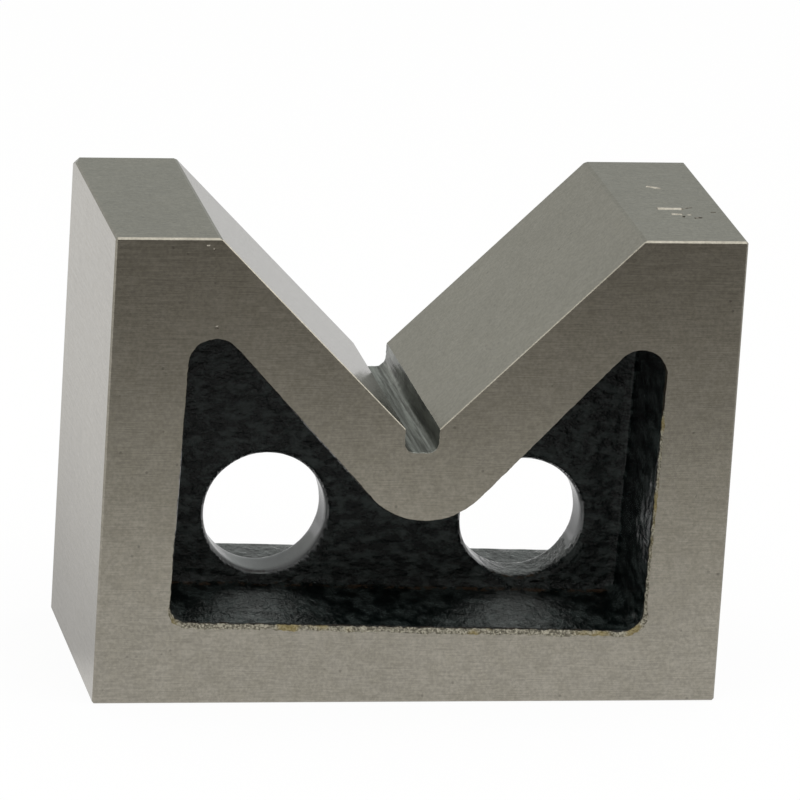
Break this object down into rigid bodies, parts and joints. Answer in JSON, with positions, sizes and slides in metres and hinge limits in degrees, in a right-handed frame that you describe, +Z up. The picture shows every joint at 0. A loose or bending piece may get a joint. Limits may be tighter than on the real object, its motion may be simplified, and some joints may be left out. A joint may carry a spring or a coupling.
{
  "type": "vee block",
  "caption": "Cast iron vee block with a ground right-angle vee, a relief slot and cored pockets, for holding round bar while it is marked out, measured or machined.",
  "frame": {"origin": "centre of the ground base, on the surface the block stands on", "axes": "+X along the length, across the vee; +Y along the vee; +Z up"},
  "size_m": [0.1, 0.046, 0.076],
  "materials": {
    "ground_iron": "surface ground, fine straight lay",
    "black_enamel": "gloss enamel over sand-cast iron"
  },
  "bodies": {
    "root": {"vee_block": "ground_iron"}
  },
  "joints": []
}
